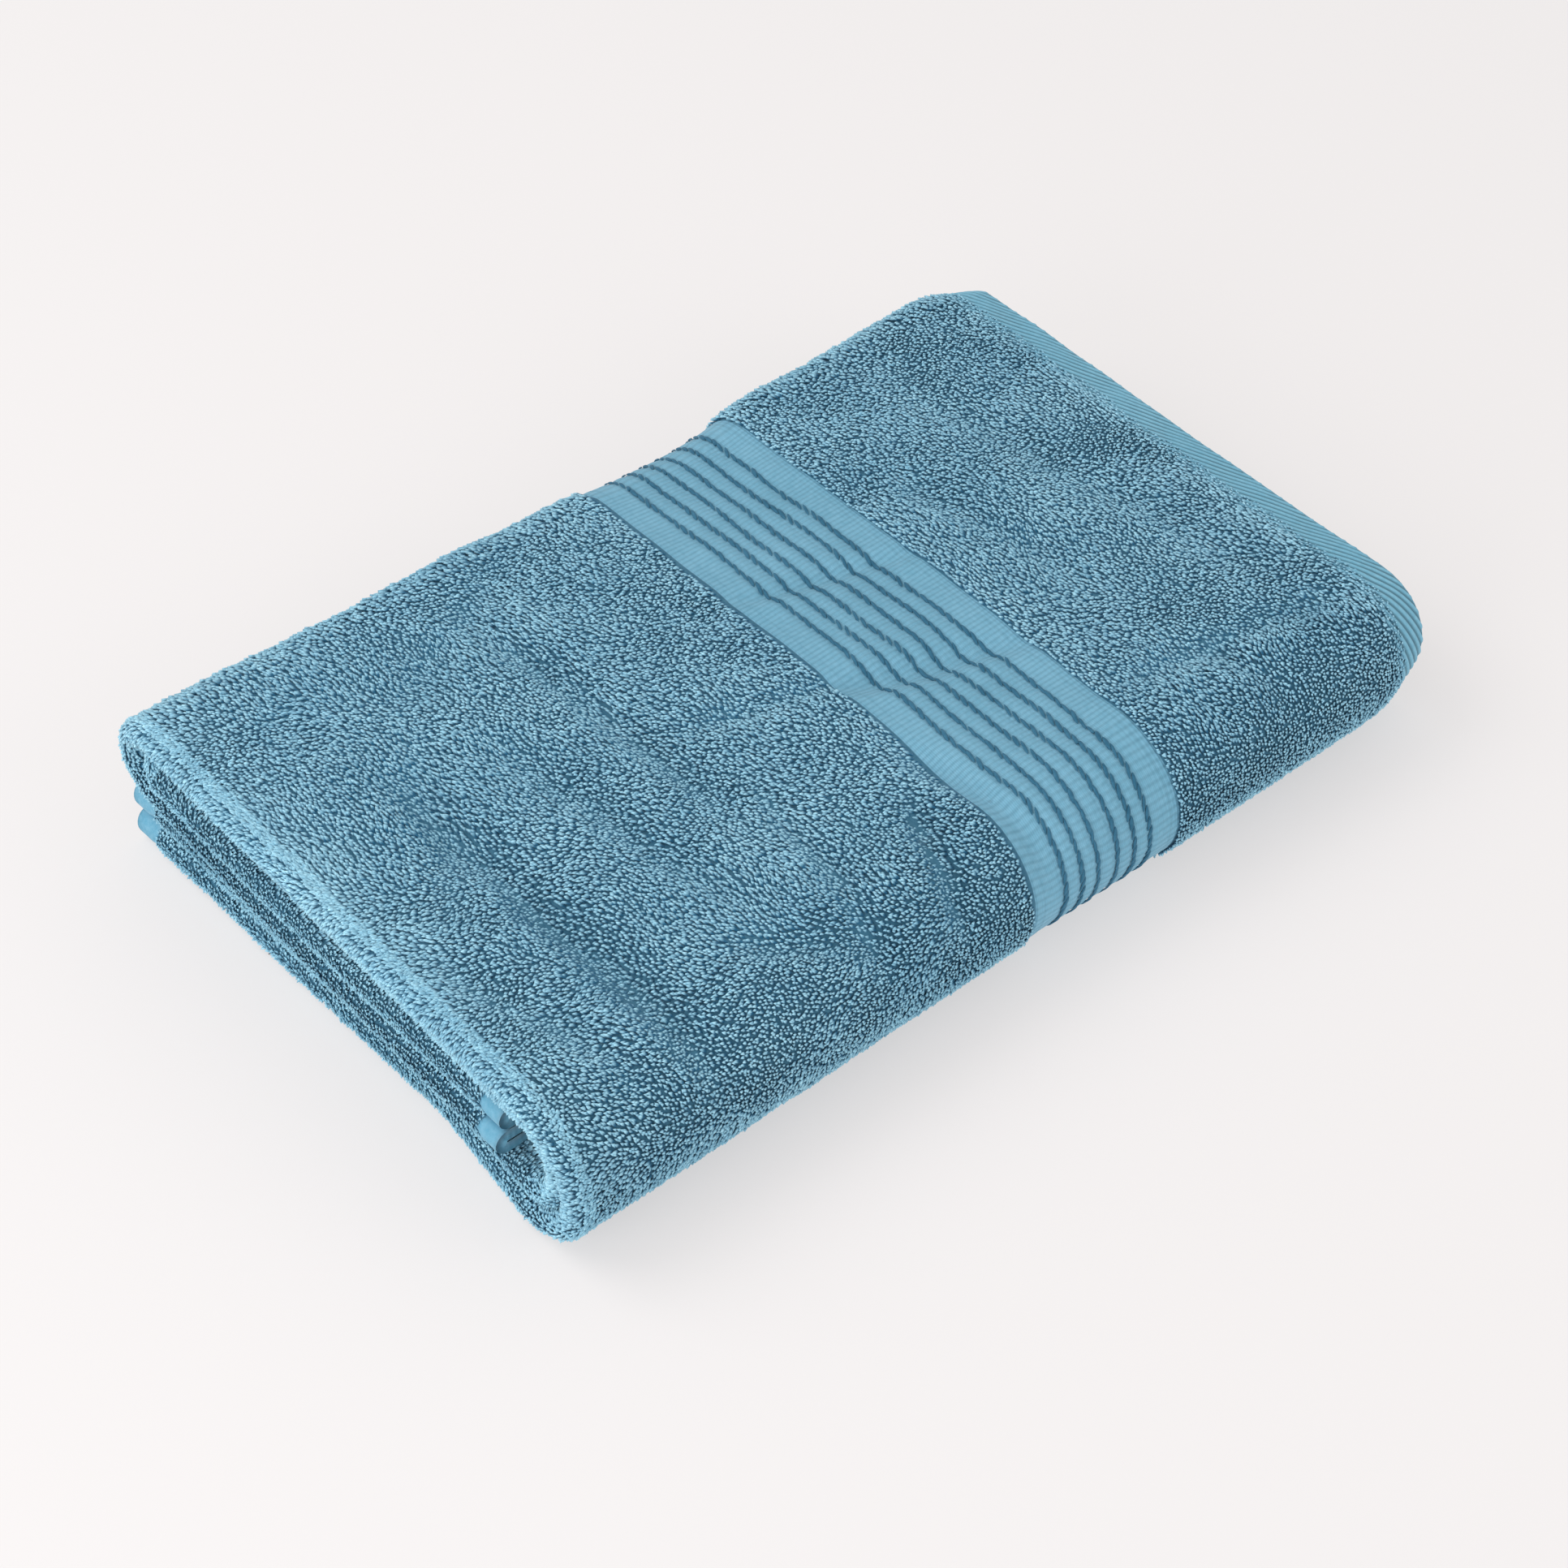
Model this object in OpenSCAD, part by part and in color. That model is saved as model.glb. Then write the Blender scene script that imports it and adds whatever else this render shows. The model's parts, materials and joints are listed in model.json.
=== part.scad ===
// Folded terry bath towel.
//
// One woven sheet, 70 x 150 cm when open. It is folded twice. First it is pleated along its
// length into four leaves. The pleated strip is then folded across into thirds, like a letter.
// X runs along the bundle, with the woven end hems at +X. The front fold faces -Y and +Z is up.
// The origin is on the surface that the towel lies on, below the middle of the bundle.

/* [Bundle] */
// Length of the folded bundle, along X
bundle_l = 376; // [250:1:520]
// Depth of the folded bundle, along Y
bundle_w = 246; // [180:1:340]
// Height of the folded bundle
bundle_h = 60; // [40:1:100]
// Clearance between two leaves that lie on each other
leaf_gap = 0.4; // [0.3:0.1:1]

/* [Hems] */
// Width of the flat woven band at each end of the towel
end_hem_w = 15; // [8:1:30]
// Width of the turned hem along each long side
side_hem_w = 10; // [6:1:20]
// How much thinner a hem is than the pile, on each face
hem_recess = 0.7; // [0.2:0.1:1.5]
// How far the hidden end hem stops short of the visible one
inner_setback = 4; // [0:1:15]

/* [Border] */
// Distance from the end of the towel to the woven border
border_from_end = 124; // [60:1:180]
// Width of the woven border
border_w = 64; // [20:1:90]
// How much lower the border lies than the pile, on each face
border_recess = 1.1; // [0.3:0.1:1.6]
// Number of coloured lines in the border
line_count = 6; // [0:1:12]
// Distance from one line to the next
line_pitch = 7.7; // [4:0.1:12]
// Width of one line
line_w = 1.6; // [0.8:0.1:3]

/* [Letter fold] */
// Open height inside the round front fold, in leaves
front_slack = 4; // [4:1:6]
// How far the free edge of the middle flap lies behind the start of the front fold
middle_edge = 10; // [0.5:0.5:40]
// How far the free edge of the bottom flap stops short of the back of the bundle
bottom_edge_inset = 3; // [2:1:40]
// Clearance where the top panel meets the front fold, which opens like a book
joint_gap = 0.3; // [0.3:0.1:0.6]

/* [Hidden] */
$fn = 48;

// The bundle is three panels of four leaves each.
leaves = 4;
pitch = (bundle_h + leaf_gap) / (3 * leaves);
panel_h = leaves * pitch;
leaf_t = pitch - leaf_gap;

// Heights are measured from the lower face of the lowest leaf.
z_fold_front = -leaf_gap / 2 + 1.5 * panel_h;
z_fold_back = -leaf_gap / 2 + 2 * panel_h;
z_bottom_top = -leaf_gap / 2 + panel_h;
r_front_in = front_slack * pitch / 2;

// The two fold axes run along X, at these depths.
y_front = -bundle_w / 2 + r_front_in + panel_h - leaf_gap / 2;
y_back = bundle_w / 2 - panel_h + leaf_gap / 2;
y_middle_edge = y_front + middle_edge;
y_bottom_edge = bundle_w / 2 - bottom_edge_inset;

// The pleats turn at these positions along X.
x_left = -bundle_l / 2 + pitch - leaf_gap / 2;
x_right = bundle_l / 2 - pitch + leaf_gap / 2 - 1;
end_outer = bundle_l / 2;
end_inner = bundle_l / 2 - inner_setback;

// Straight steps in each half turn of a pleat
turn_steps = 12;

// Leaf 3 is the outermost and carries the visible end. Leaf 0 is the innermost.
outer_leaf = leaves - 1;
inner_leaf = 0;

pile_colour = [0.36, 0.59, 0.68];
border_colour = [0.44, 0.67, 0.74];
line_colour = [0.14, 0.36, 0.52];
hem_colour = [0.46, 0.68, 0.75];

// ---- Cross-sections of the pleated strip. x is along the bundle and y is through the panel.

// Straight stretch of one leaf, thinner by thin on each face
module leaf_2d(leaf, x0, x1, thin = 0)
    translate([x0, leaf * pitch + leaf_gap / 2 + thin])
        square([x1 - x0, leaf_t - 2 * thin]);

// Points of an arc about one of the turns between two leaves
function arc(x, leaf_above, r, a0, a1) =
    [for (i = [0 : turn_steps])
        let (a = a0 + (a1 - a0) * i / turn_steps)
            [x + r * cos(a), leaf_above * pitch + r * sin(a)]];

// Pleats from one end of the strip, round all three turns, to the other end. The outline runs
// along one face of the cloth, crosses the inner end and comes back along the other face.
module pleats_2d(outer_end, inner_end, thin = 0) {
    r_in = leaf_gap / 2 + thin;
    r_out = pitch - leaf_gap / 2 - thin;
    polygon(concat(
        [[outer_end, 3 * pitch + r_out]],
        arc(x_left, 3, r_out, 90, 270),
        arc(x_right, 2, r_in, 90, -90),
        arc(x_left, 1, r_out, 90, 270),
        [[inner_end, pitch - r_out], [inner_end, pitch - r_in]],
        arc(x_left, 1, r_in, 270, 90),
        arc(x_right, 2, r_out, -90, 90),
        arc(x_left, 3, r_in, 270, 90),
        [[outer_end, 3 * pitch + r_in]]
    ));
}

module pile_2d()
    pleats_2d(end_outer - border_from_end - border_w, end_inner - border_from_end - border_w);

module end_pile_2d(leaf, end)
    leaf_2d(leaf, end - border_from_end, end - end_hem_w);

module border_2d(leaf, end)
    leaf_2d(leaf, end - border_from_end - border_w, end - border_from_end, border_recess);

// Coloured lines lie on the face side of the cloth, up on the outer leaf and down on the inner
module lines_2d(leaf, end) {
    up = leaf == outer_leaf;
    face = leaf * pitch + leaf_gap / 2 + (up ? leaf_t - border_recess : border_recess);
    first = end - border_from_end - border_w / 2 - (line_count - 1) * line_pitch / 2;
    for (i = [0 : 1 : line_count - 1])
        translate([first + i * line_pitch, face])
            intersection() {
                circle(d = line_w, $fn = 16);
                translate([-line_w, up ? 0 : -line_w])
                    square([2 * line_w, line_w]);
            }
}

module end_hem_2d(leaf, end) {
    half = leaf_t / 2 - hem_recess;
    leaf_2d(leaf, end - end_hem_w, end - half, hem_recess);
    translate([end - half, (leaf + 0.5) * pitch])
        intersection() {
            circle(r = half);
            translate([0, -half])
                square([half, 2 * half]);
        }
}

// The turned hem follows every pleat from one end of the towel to the other
module side_hem_2d()
    pleats_2d(end_outer, end_inner, hem_recess);

module zone_2d(zone) {
    if (zone == "pile") pile_2d();
    if (zone == "outer_end_pile") end_pile_2d(outer_leaf, end_outer);
    if (zone == "inner_end_pile") end_pile_2d(inner_leaf, end_inner);
    if (zone == "outer_border") border_2d(outer_leaf, end_outer);
    if (zone == "inner_border") border_2d(inner_leaf, end_inner);
    if (zone == "outer_lines") lines_2d(outer_leaf, end_outer);
    if (zone == "inner_lines") lines_2d(inner_leaf, end_inner);
    if (zone == "outer_end_hem") end_hem_2d(outer_leaf, end_outer);
    if (zone == "inner_end_hem") end_hem_2d(inner_leaf, end_inner);
    if (zone == "side_hem") side_hem_2d();
}

// ---- Sweeps that turn a cross-section into cloth

// Flat panel from depth y0 to y1. up is true where the outer leaf lies on top.
module flat(y0, y1, z, up)
    translate([0, y1, z])
        mirror([0, 0, up ? 0 : 1])
            rotate([90, 0, 0])
                linear_extrude(y1 - y0)
                    children();

// Half turn about an axis along X at the front of the bundle
module half_turn(y, z, r_in)
    translate([0, y, z])
        rotate(a = 180, v = [1, 0, 1])
            rotate_extrude(angle = 180)
                translate([r_in, 0])
                    mirror([1, -1, 0])
                        children();

module zone_colour(zone) {
    lines = zone == "outer_lines" || zone == "inner_lines";
    border = zone == "outer_border" || zone == "inner_border";
    hem = zone == "outer_end_hem" || zone == "inner_end_hem" || zone == "side_hem";
    color(lines ? line_colour : border ? border_colour : hem ? hem_colour : pile_colour)
        children();
}

// ---- The five stretches of the letter fold, from the top panel round to the bottom flap

// Top panel, which is the middle third of the towel's width
module top_panel(zone)
    zone_colour(zone)
        flat(y_front + joint_gap, y_back, z_fold_back, true)
            zone_2d(zone);

// Tight half turn at the back, from the top panel down to the middle flap
module back_fold(zone)
    zone_colour(zone)
        translate([0, 2 * y_back, 0])
            mirror([0, 1, 0])
                half_turn(y_back, z_fold_back, 0)
                    zone_2d(zone);

// Flap folded under the top panel, with its free side hem inside the front fold
module middle_flap(zone)
    zone_colour(zone)
        flat(zone == "side_hem" ? y_middle_edge : y_middle_edge + side_hem_w,
             zone == "side_hem" ? y_middle_edge + side_hem_w : y_back, z_fold_back, false)
            zone_2d(zone);

// Wide half turn at the front, over the full height of the bundle
module front_fold(zone)
    zone_colour(zone)
        half_turn(y_front, z_fold_front, r_front_in)
            zone_2d(zone);

// Flap on the ground, with its free side hem near the back
module bottom_flap(zone)
    zone_colour(zone)
        flat(zone == "side_hem" ? y_bottom_edge - side_hem_w : y_front,
             zone == "side_hem" ? y_bottom_edge : y_bottom_edge - side_hem_w,
             z_bottom_top, false)
            zone_2d(zone);

top_panel("pile");  // top_panel_pile
top_panel("outer_end_pile");  // top_panel_outer_end_pile
top_panel("inner_end_pile");  // top_panel_inner_end_pile
top_panel("outer_border");  // top_panel_outer_border
top_panel("inner_border");  // top_panel_inner_border
top_panel("outer_lines");  // top_panel_outer_lines
top_panel("inner_lines");  // top_panel_inner_lines
top_panel("outer_end_hem");  // top_panel_outer_end_hem
top_panel("inner_end_hem");  // top_panel_inner_end_hem

back_fold("pile");  // back_fold_pile
back_fold("outer_end_pile");  // back_fold_outer_end_pile
back_fold("inner_end_pile");  // back_fold_inner_end_pile
back_fold("outer_border");  // back_fold_outer_border
back_fold("inner_border");  // back_fold_inner_border
back_fold("outer_lines");  // back_fold_outer_lines
back_fold("inner_lines");  // back_fold_inner_lines
back_fold("outer_end_hem");  // back_fold_outer_end_hem
back_fold("inner_end_hem");  // back_fold_inner_end_hem

middle_flap("pile");  // middle_flap_pile
middle_flap("outer_end_pile");  // middle_flap_outer_end_pile
middle_flap("inner_end_pile");  // middle_flap_inner_end_pile
middle_flap("outer_border");  // middle_flap_outer_border
middle_flap("inner_border");  // middle_flap_inner_border
middle_flap("outer_lines");  // middle_flap_outer_lines
middle_flap("inner_lines");  // middle_flap_inner_lines
middle_flap("outer_end_hem");  // middle_flap_outer_end_hem
middle_flap("inner_end_hem");  // middle_flap_inner_end_hem
middle_flap("side_hem");  // middle_flap_side_hem

front_fold("pile");  // front_fold_pile
front_fold("outer_end_pile");  // front_fold_outer_end_pile
front_fold("inner_end_pile");  // front_fold_inner_end_pile
front_fold("outer_border");  // front_fold_outer_border
front_fold("inner_border");  // front_fold_inner_border
front_fold("outer_lines");  // front_fold_outer_lines
front_fold("inner_lines");  // front_fold_inner_lines
front_fold("outer_end_hem");  // front_fold_outer_end_hem
front_fold("inner_end_hem");  // front_fold_inner_end_hem

bottom_flap("pile");  // bottom_flap_pile
bottom_flap("outer_end_pile");  // bottom_flap_outer_end_pile
bottom_flap("inner_end_pile");  // bottom_flap_inner_end_pile
bottom_flap("outer_border");  // bottom_flap_outer_border
bottom_flap("inner_border");  // bottom_flap_inner_border
bottom_flap("outer_lines");  // bottom_flap_outer_lines
bottom_flap("inner_lines");  // bottom_flap_inner_lines
bottom_flap("outer_end_hem");  // bottom_flap_outer_end_hem
bottom_flap("inner_end_hem");  // bottom_flap_inner_end_hem
bottom_flap("side_hem");  // bottom_flap_side_hem
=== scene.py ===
"""Folded terry bath towel: the looks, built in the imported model's frame, in metres.

The towel is one cloth. A point on it has two coordinates. s runs along the pleats, from the
visible end hem round three turns to the hidden end. v runs along the letter fold, from the free
edge of the middle flap, over the top, to the free edge of the bottom flap. The cloth, its pile,
its border, its coloured lines and its hems are all laid out in s and v.
"""

import json
import math

import bpy
import numpy as np
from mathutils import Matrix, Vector


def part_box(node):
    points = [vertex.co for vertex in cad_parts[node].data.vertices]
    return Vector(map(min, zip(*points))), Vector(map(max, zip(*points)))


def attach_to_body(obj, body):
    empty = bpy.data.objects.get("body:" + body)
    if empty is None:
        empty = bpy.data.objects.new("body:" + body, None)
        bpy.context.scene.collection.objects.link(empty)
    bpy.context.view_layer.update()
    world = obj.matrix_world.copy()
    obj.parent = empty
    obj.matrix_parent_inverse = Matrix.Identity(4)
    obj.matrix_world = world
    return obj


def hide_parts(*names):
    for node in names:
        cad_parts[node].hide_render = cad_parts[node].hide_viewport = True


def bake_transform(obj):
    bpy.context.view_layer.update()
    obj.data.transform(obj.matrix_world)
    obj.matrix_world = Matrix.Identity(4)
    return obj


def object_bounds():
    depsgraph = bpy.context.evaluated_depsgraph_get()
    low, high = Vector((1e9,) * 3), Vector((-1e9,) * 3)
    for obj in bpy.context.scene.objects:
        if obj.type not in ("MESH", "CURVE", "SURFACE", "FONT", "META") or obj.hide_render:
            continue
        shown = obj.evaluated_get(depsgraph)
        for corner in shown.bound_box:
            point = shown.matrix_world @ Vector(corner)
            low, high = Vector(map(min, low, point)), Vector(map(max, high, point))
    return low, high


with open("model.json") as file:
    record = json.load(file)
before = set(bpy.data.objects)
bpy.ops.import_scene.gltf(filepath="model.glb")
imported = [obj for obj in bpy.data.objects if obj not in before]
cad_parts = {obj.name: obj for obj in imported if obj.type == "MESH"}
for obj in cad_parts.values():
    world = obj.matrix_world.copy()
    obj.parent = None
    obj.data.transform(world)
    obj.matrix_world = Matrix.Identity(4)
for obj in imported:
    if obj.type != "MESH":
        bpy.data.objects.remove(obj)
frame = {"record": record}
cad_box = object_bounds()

rng = np.random.default_rng(7)
MM = 0.001

# ---------------------------------------------------------------- sizes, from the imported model


def corners(node):
    """The lowest and the highest corner of a node's box"""
    return [np.array(corner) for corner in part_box(node)]


low, high = (np.array(corner) for corner in cad_box)
joint = frame["record"]["behaviour"]["joints"][0]
top_low = corners("top_panel_pile")[0]
border_low, border_high = corners("top_panel_outer_border")
line_low, line_high = corners("top_panel_outer_lines")
hem_low, hem_high = corners("top_panel_outer_end_hem")
inner_border_low = corners("top_panel_inner_border")[0]
inner_hem_high = corners("top_panel_inner_end_hem")[1]
middle_low, middle_high = corners("middle_flap_side_hem")
bottom_high = corners("bottom_flap_side_hem")[1]

# The block is three panels of four leaves, and the top panel starts after eight of the twelve
PITCH = top_low[2] / 8
GAP = 12 * PITCH - high[2]
Y_FRONT, Z_FRONT = joint["pos_m"][1], joint["pos_m"][2]
Y_BACK, Z_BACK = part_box("back_fold_pile")[0][1], 8 * PITCH - GAP / 2
Z_BOTTOM = 4 * PITCH - GAP / 2
R_FRONT = 2 * PITCH
SIDE_HEM = middle_high[1] - middle_low[1]
END_HEM = hem_high[0] - hem_low[0]
LINE_COUNT = 6
LINE_WIDTH = 1.6 * MM
LINE_STEP = (line_high[0] - line_low[0] - LINE_WIDTH) / (LINE_COUNT - 1)

# Where the soft cloth differs from the plain solids
DROOP = 7 * MM
RIGHT_SETBACK = 10 * MM
FURROW_DEPTH = 1.6 * MM

# Half the thickness of the cloth under the pile, in the border, in the end hems and side hems
CLOTH_HALF = 1.45 * MM
BORDER_HALF = 1.25 * MM
HEM_HALF = 1.3 * MM
SIDE_HEM_HALF = 2.2 * MM

# One loop of the pile: its yarn, half the distance between its feet, how high it stands, how far
# it leans and in which direction from s
LOOP_RADIUS = 0.36 * MM
LOOP_FOOT = 0.2 * MM
LOOP_RISE = 1.15 * MM
LOOP_LEAN = 2.0 * MM
LEAN_ANGLE = math.radians(33)
LOOP_RINGS = 5
LOOPS_PER_PIECE = 4600

# From loop to loop: in plain sight, at the back, where the pile is hidden, and in the tight turns
FINE, MEDIUM, COARSE, TIGHT = 1.4 * MM, 1.65 * MM, 2.45 * MM, 1.15 * MM

# The slanting ribs of the end hem
RIB_SLANT = math.radians(31)
RIB_STEP = 2.6 * MM

X_LEFT = low[0] + PITCH
X_RIGHT = high[0] - PITCH - RIGHT_SETBACK
X_END = hem_high[0]
X_INNER_END = inner_hem_high[0] - RIGHT_SETBACK
LEAF = X_END - X_LEFT
TURN = math.pi * PITCH / 2


# ---------------------------------------------------------------- the cloth's two coordinates


def turn(x, u, first, last, outward):
    """Points round one turn of a pleat: x, height in the panel, and the normal of the outer face."""
    angles = np.radians(np.linspace(first, last, 25))
    c, s = np.cos(angles), np.sin(angles)
    return [
        (x + PITCH / 2 * a, u + PITCH / 2 * b, outward * a, outward * b) for a, b in zip(c, s)
    ]


def pleats():
    """The pleated strip's centre line as columns s, x, height and normal."""
    straight = np.linspace(X_END, X_LEFT, 60)[:-1]
    points = [(x, 3.5 * PITCH, 0, 1) for x in straight]
    points += turn(X_LEFT, 3 * PITCH, 90, 270, 1)
    points += turn(X_RIGHT, 2 * PITCH, 90, -90, -1)
    points += turn(X_LEFT, PITCH, 90, 270, 1)
    points += [(x, 0.5 * PITCH, 0, -1) for x in np.linspace(X_LEFT, X_INNER_END, 60)[1:]]
    table = np.array(points)
    steps = np.hypot(np.diff(table[:, 0]), np.diff(table[:, 1]))
    s = np.concatenate([[0], np.cumsum(steps)])
    # The visible end droops over the leaves below it
    x = table[:, 0]
    reach = 2.2 * END_HEM
    fall = np.clip((x - (X_END - reach)) / reach, 0, 1) * (s < LEAF / 2)
    slope = -2 * DROOP * fall / reach
    table[:, 1] -= DROOP * fall**2
    tilt = np.where(fall > 0, 1 / np.hypot(1, slope), 1)
    table[:, 2] = np.where(fall > 0, -slope * tilt, table[:, 2])
    table[:, 3] = np.where(fall > 0, tilt, table[:, 3])
    return np.column_stack([s, table])


PLEATS = pleats()

# Values of s where the turns begin and end, and of the two borders
S_LEFT = LEAF
S_MIDDLE = S_LEFT + TURN
S_RIGHT = S_MIDDLE + (X_RIGHT - X_LEFT)
S_BACK = S_RIGHT + TURN
S_INNER_LEFT = S_BACK + (X_RIGHT - X_LEFT)
S_INNER = S_INNER_LEFT + TURN
S_END = PLEATS[-1, 0]
S_BORDER = (X_END - border_high[0], X_END - border_low[0])
inner_start = S_INNER + inner_border_low[0] - X_LEFT - RIGHT_SETBACK
S_INNER_BORDER = (inner_start, inner_start + S_BORDER[1] - S_BORDER[0])


def letter():
    """The letter fold as columns v, centre y and z, outward y and z, and inner radius, and the v
    at which each stretch begins."""
    half_turn = np.radians(np.linspace(0, 180, 61))
    rows = []
    v = 0.0
    starts = {}

    def flat(name, y0, y1, z, up):
        nonlocal v
        starts[name] = v
        length = abs(y1 - y0)
        for k in np.linspace(0, 1, 40):
            rows.append((v + length * k, y0 + (y1 - y0) * k, z, 0, up, 0))
        v += length

    def fold(name, y, z, side, angles, radius):
        nonlocal v
        starts[name] = v
        length = math.pi * (radius + 2 * PITCH)
        for k, a in zip(np.linspace(0, 1, len(angles)), angles):
            rows.append((v + length * k, y, z, side * math.sin(a), math.cos(a), radius))
        v += length

    flat("middle", middle_low[1], Y_BACK, Z_BACK, -1)
    fold("back", Y_BACK, Z_BACK, 1, half_turn[::-1], 0)
    flat("top", Y_BACK, Y_FRONT, Z_BACK, 1)
    fold("front", Y_FRONT, Z_FRONT, -1, half_turn, R_FRONT)
    flat("bottom", Y_FRONT, bottom_high[1], Z_BOTTOM, -1)
    starts["end"] = v
    table = np.array(rows)
    keep = np.concatenate([[True], np.diff(table[:, 0]) > 1e-9])
    return table[keep], starts


LETTER, V = letter()
order = list(V)
SPAN = {name: (V[name], V[after]) for name, after in zip(order, order[1:])}
WIDTH = V["end"]


def ramp(x, x0, x1):
    """0 before x0 and 1 after x1, smooth between them"""
    t = np.clip((x - x0) / (x1 - x0), 0, 1)
    return t * t * (3 - 2 * t)


def waves(points, wavelength, seed, count=9):
    """Smooth noise from about -1 to 1, as a sum of plane waves"""
    r = np.random.default_rng(seed)
    total = np.zeros(points.shape[:-1])
    for _ in range(count):
        k = r.normal(size=3)
        k *= 2 * math.pi / wavelength * r.uniform(0.6, 1.4) / np.linalg.norm(k)
        total += np.sin(points @ k + r.uniform(0, 2 * math.pi))
    return total / math.sqrt(count / 2) * 0.6


# How far each turn at the left end is drawn in, in mm, along the letter fold
PULL_AT = [*SPAN["middle"], V["top"], *SPAN["front"], V["bottom"] + 50 * MM, V["end"]]
PULL_UPPER = [0.5, 0.0, 0.0, 0.0, 1.0, 6.0, 1.0]
PULL_LOWER = [2.5, 0.0, 6.0, 3.0, 2.5, 6.5, 1.5]
PULL_REACH = 90 * MM

# Soft furrows in the cloth: from x, y to x, y, half width and depth, in mm
FURROWS = [
    (-136, 28, -128, -122, 7, 3.4),
    (-70, 80, -62, -36, 6, 2.4),
    (-20, 112, -108, 62, 10, 2.4),
    (-50, -8, 50, -38, 5, 1.7),
    (-16, -80, -30, -122, 5, 2.8),
    (-2, -60, 10, -124, 5, 1.8),
    (-95, -92, -55, -114, 6, 2.6),
    (-118, 44, -150, -20, 8, 2.2),
    (-100, 20, -84, -78, 6, 1.8),
    (-48, -45, -60, -118, 5, 1.8),
    (-170, -40, -150, -110, 6, 1.6),
    (88, 40, 100, -30, 7, 1.4),
    (125, 70, 150, -70, 8, 1.4),
    (85, -85, 170, -98, 6, 2.2),
    (110, -92, 122, -124, 5, 1.8),
    (4, 30, 62, 12, 4, 1.2),
    (6, -30, 60, -46, 4, 1.2),
]


def settle(points, s, v):
    """The small ways in which soft cloth leaves the plain shape, for points at s and v on it"""
    x, y, z = points[..., 0], points[..., 1], points[..., 2]
    out = points.copy()
    for pulls, centre in ((PULL_UPPER, S_LEFT + TURN / 2), (PULL_LOWER, S_INNER_LEFT + TURN / 2)):
        share = 1 - ramp(np.abs(s - centre), 6 * MM, PULL_REACH)
        out[..., 0] += share * np.interp(v, PULL_AT, pulls) * MM
    lift = z / high[2]
    # At the left the bottom flap's free edge is plump and pushes up what lies on it
    plump = 1 - ramp(x, low[0] + 10 * MM, low[0] + 110 * MM)
    plump = plump * ramp(y, 0.3 * high[1], 0.9 * high[1])
    rise = np.interp(z, [0, Z_BOTTOM, high[2]], [0, 5.5 * MM, 0])
    out[..., 2] += plump * rise
    # Gentle swells over the top, and ripples along the long sides
    flat = points * [1, 1, 0]
    swell = waves(flat, 0.19, 11) * 1.1 + waves(flat, 0.07, 12) * 0.5 + waves(flat, 0.028, 15) * 0.3
    out[..., 2] += swell * MM * lift * ramp(z, 0.25 * high[2], 0.8 * high[2])
    side = waves(points * [1, 0, 0.6], 0.16, 13) * 1.2 + waves(points * [1, 0, 1], 0.05, 14) * 0.4
    edge = ramp(np.abs(y), 0.6 * high[1], high[1]) * np.sign(y)
    out[..., 1] += side * MM * edge * lift
    # The thin border sinks a little, most of all where it turns over the back
    middle = (border_low[0] + border_high[0]) / 2
    dip = np.exp(-(((x - middle) / (38 * MM)) ** 2))
    rear = ramp(y, 0.35 * high[1], high[1])
    out[..., 2] -= dip * lift * (0.9 + 3.4 * rear) * MM
    out[..., 1] -= dip * rear * 2.2 * lift * MM
    # Furrows and creases, deepest over the top
    upper = ramp(z, 0.3 * high[2], 0.9 * high[2])
    for x0, y0, x1, y1, wide, deep in FURROWS:
        run = np.hypot(x1 - x0, y1 - y0)
        along = ((x - x0 * MM) * (x1 - x0) + (y - y0 * MM) * (y1 - y0)) / run
        across = ((y - y0 * MM) * (x1 - x0) - (x - x0 * MM) * (y1 - y0)) / run
        across = across + 0.12 * wide * MM * np.sin(along / (9 * MM))
        ends = ramp(along, -0.25 * run * MM, 0.2 * run * MM)
        ends = ends * (1 - ramp(along, 0.8 * run * MM, 1.25 * run * MM))
        groove = np.exp(-((across / (wide * MM)) ** 2))
        out[..., 2] -= FURROW_DEPTH * deep * ends * upper * groove
    return out


def place(s, v, off=0.0):
    """Points on the cloth at off from its middle layer, with the directions along s, along v and
    out of the outer face"""
    s, v, off = np.broadcast_arrays(np.asarray(s, float), v, off)
    x, u, nx, nu = (np.interp(s, PLEATS[:, 0], PLEATS[:, k]) for k in (1, 2, 3, 4))
    size = np.hypot(nx, nu)
    nx, nu = nx / size, nu / size
    cy, cz, ry, rz, rho = (np.interp(v, LETTER[:, 0], LETTER[:, k]) for k in (1, 2, 3, 4, 5))
    size = np.hypot(ry, rz)
    ry, rz = ry / size, rz / size
    reach = rho + u + off * nu
    points = np.stack([x + off * nx, cy + ry * reach, cz + rz * reach], -1)
    normal = np.stack([nx, nu * ry, nu * rz], -1)
    along_s = np.stack([-nu, nx * ry, nx * rz], -1)
    along_v = np.stack([np.zeros_like(x), -rz, ry], -1)
    return settle(points, s, v), along_s, along_v, normal


# ---------------------------------------------------------------- meshes from arrays


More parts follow.
